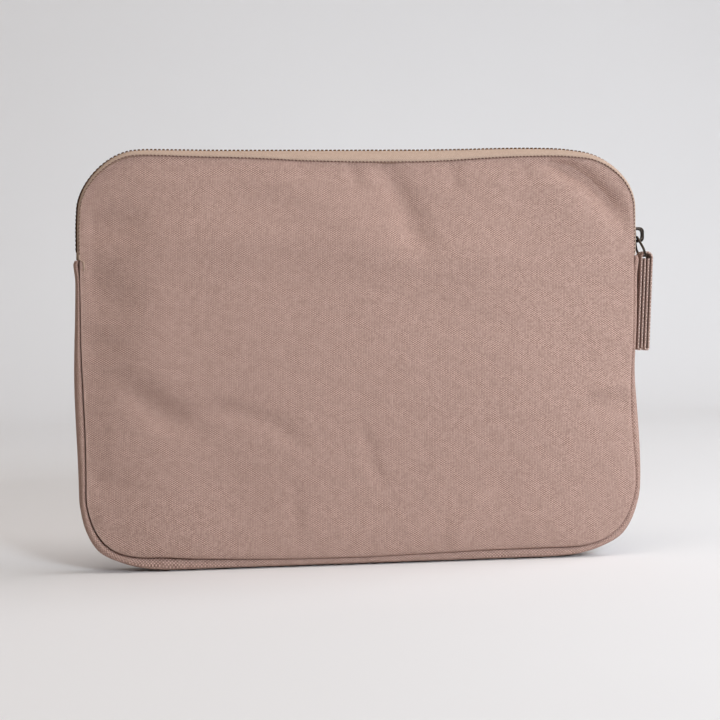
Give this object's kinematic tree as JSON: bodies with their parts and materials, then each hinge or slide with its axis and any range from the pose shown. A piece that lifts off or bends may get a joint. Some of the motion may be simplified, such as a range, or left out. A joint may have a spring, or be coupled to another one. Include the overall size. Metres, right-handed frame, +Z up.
{
  "type": "laptop sleeve",
  "caption": "Padded canvas laptop sleeve with rounded corners, a metal zip round its mouth and a webbing zip pull hanging at one side.",
  "frame": {"origin": "centre of the flat bottom of the edge band, on the surface the sleeve stands on", "axes": "+X along the width towards the zip slider, -Y out of the front panel, +Z up"},
  "size_m": [0.3526, 0.0274, 0.2499],
  "materials": {
    "canvas": "matte",
    "webbing": "matte",
    "foam": "matte",
    "lining": "matte",
    "zip_tape": "matte",
    "teeth": "satin",
    "slider_metal": "satin"
  },
  "bodies": {
    "shell": {"back_canvas_panel": "canvas", "back_foam_panel": "foam", "back_lining_panel": "lining", "front_canvas_lower": "canvas", "front_foam_lower": "foam", "front_lining_lower": "lining", "gusset_canvas": "canvas", "gusset_foam": "foam", "gusset_lining": "lining", "zip_tape_back": "zip_tape", "zip_chain_back": "teeth", "zip_chain_back_right_end": "teeth", "zip_bottom_stop": "teeth", "zip_top_stop_front": "teeth", "zip_top_stop_back": "teeth"},
    "front_flap": {"front_canvas_upper": "canvas", "front_foam_upper": "foam", "front_lining_upper": "lining", "zip_tape_front": "zip_tape", "zip_chain_front": "teeth", "zip_chain_front_left_end": "teeth", "zip_chain_front_right_end": "teeth"},
    "slider": {"slider_body": "slider_metal", "slider_bridge": "slider_metal"},
    "link": {"pull_link": "slider_metal"},
    "strap": {"pull_strap": "webbing"}
  },
  "joints": [
    {"name": "mouth_open", "type": "hinge", "parent": "shell", "child": "front_flap", "pos_m": [0, -0.01385, 0.185], "axis": [1, 0, 0], "range_deg": [0, 50], "stiffness_Nm_per_rad": 0.05, "deforming": ["zip_chain_front_left_end", "zip_chain_front_right_end"]},
    {"name": "slider_travel", "type": "slide", "parent": "shell", "child": "slider", "axis": [0, 0, 1], "range_m": [0, 0.013], "deforming": ["zip_chain_front_right_end", "zip_chain_back_right_end"]},
    {"name": "link_swing", "type": "hinge", "parent": "slider", "child": "link", "pos_m": [0.17325, 0, 0.196], "axis": [0, -1, 0], "range_deg": [0, 100]},
    {"name": "strap_swing", "type": "hinge", "parent": "link", "child": "strap", "pos_m": [0.17742, 0, 0.18454], "axis": [0, -1, 0], "range_deg": [0, 60]}
  ]
}
